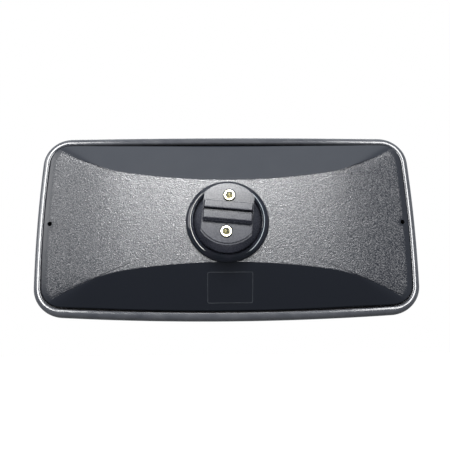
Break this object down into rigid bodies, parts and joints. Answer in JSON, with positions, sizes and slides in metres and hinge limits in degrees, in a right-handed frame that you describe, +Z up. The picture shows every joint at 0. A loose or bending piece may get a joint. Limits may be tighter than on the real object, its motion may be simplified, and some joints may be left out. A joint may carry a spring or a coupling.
{
  "type": "convex mirror head",
  "caption": "Wide convex mirror head in a black moulded housing, held from behind by a ball-jointed arm mount with threaded inserts.",
  "frame": {"origin": "centre of the arm face on the swivel ball, midway between the two threaded inserts", "axes": "+X to the right as seen from behind, +Z up, the back of the head faces -Y and the glass faces +Y"},
  "size_m": [0.38, 0.0605, 0.192],
  "materials": {
    "housing": "black moulded plastic, fine spark-eroded grain on the crown and satin smooth flanks",
    "gloss_collar": "polished black plastic",
    "ball_plastic": "satin black glass-filled plastic",
    "bearing_plastic": "natural acetal",
    "rubber": "smooth black rubber",
    "mirror": "silvered convex glass",
    "film": "grey shatter-retaining film",
    "foam_tape": "closed-cell foam tape",
    "steel": "zinc-plated steel",
    "spring_steel": "oiled spring steel",
    "brass": "turned brass, bright mouth"
  },
  "bodies": {
    "arm_mount": {"swivel_ball": "ball_plastic", "insert_upper": "brass", "insert_lower": "brass"},
    "slip_liner": {"socket_liner": "bearing_plastic"},
    "slip_cup": {"pressure_cup": "bearing_plastic"},
    "mirror_head": {"rear_housing": "housing", "socket_collar": "gloss_collar", "dust_seal": "rubber", "mirror_glass": "mirror", "backing_film": "film", "seal_tape": "foam_tape", "edge_gasket": "rubber", "retaining_plate": "steel", "pressure_spring": "spring_steel", "plate_washer_1": "steel", "plate_washer_2": "steel", "plate_washer_3": "steel", "plate_washer_4": "steel", "plate_screw_1": "steel", "plate_screw_2": "steel", "plate_screw_3": "steel", "plate_screw_4": "steel"}
  },
  "joints": [
    {"name": "head_tilt", "type": "hinge", "parent": "arm_mount", "child": "slip_liner", "pos_m": [0, 0.03517, -0.00308], "axis": [1, 0, 0], "range_deg": [-13.5, 3.5]},
    {"name": "head_pan", "type": "hinge", "parent": "slip_liner", "child": "slip_cup", "pos_m": [0, 0.03517, -0.00308], "axis": [0, 0, 1], "range_deg": [-8.5, 8.5]},
    {"name": "head_turn", "type": "hinge", "parent": "slip_cup", "child": "mirror_head", "pos_m": [0, 0.03517, -0.00308], "axis": [0, 1, 0], "continuous": true}
  ]
}
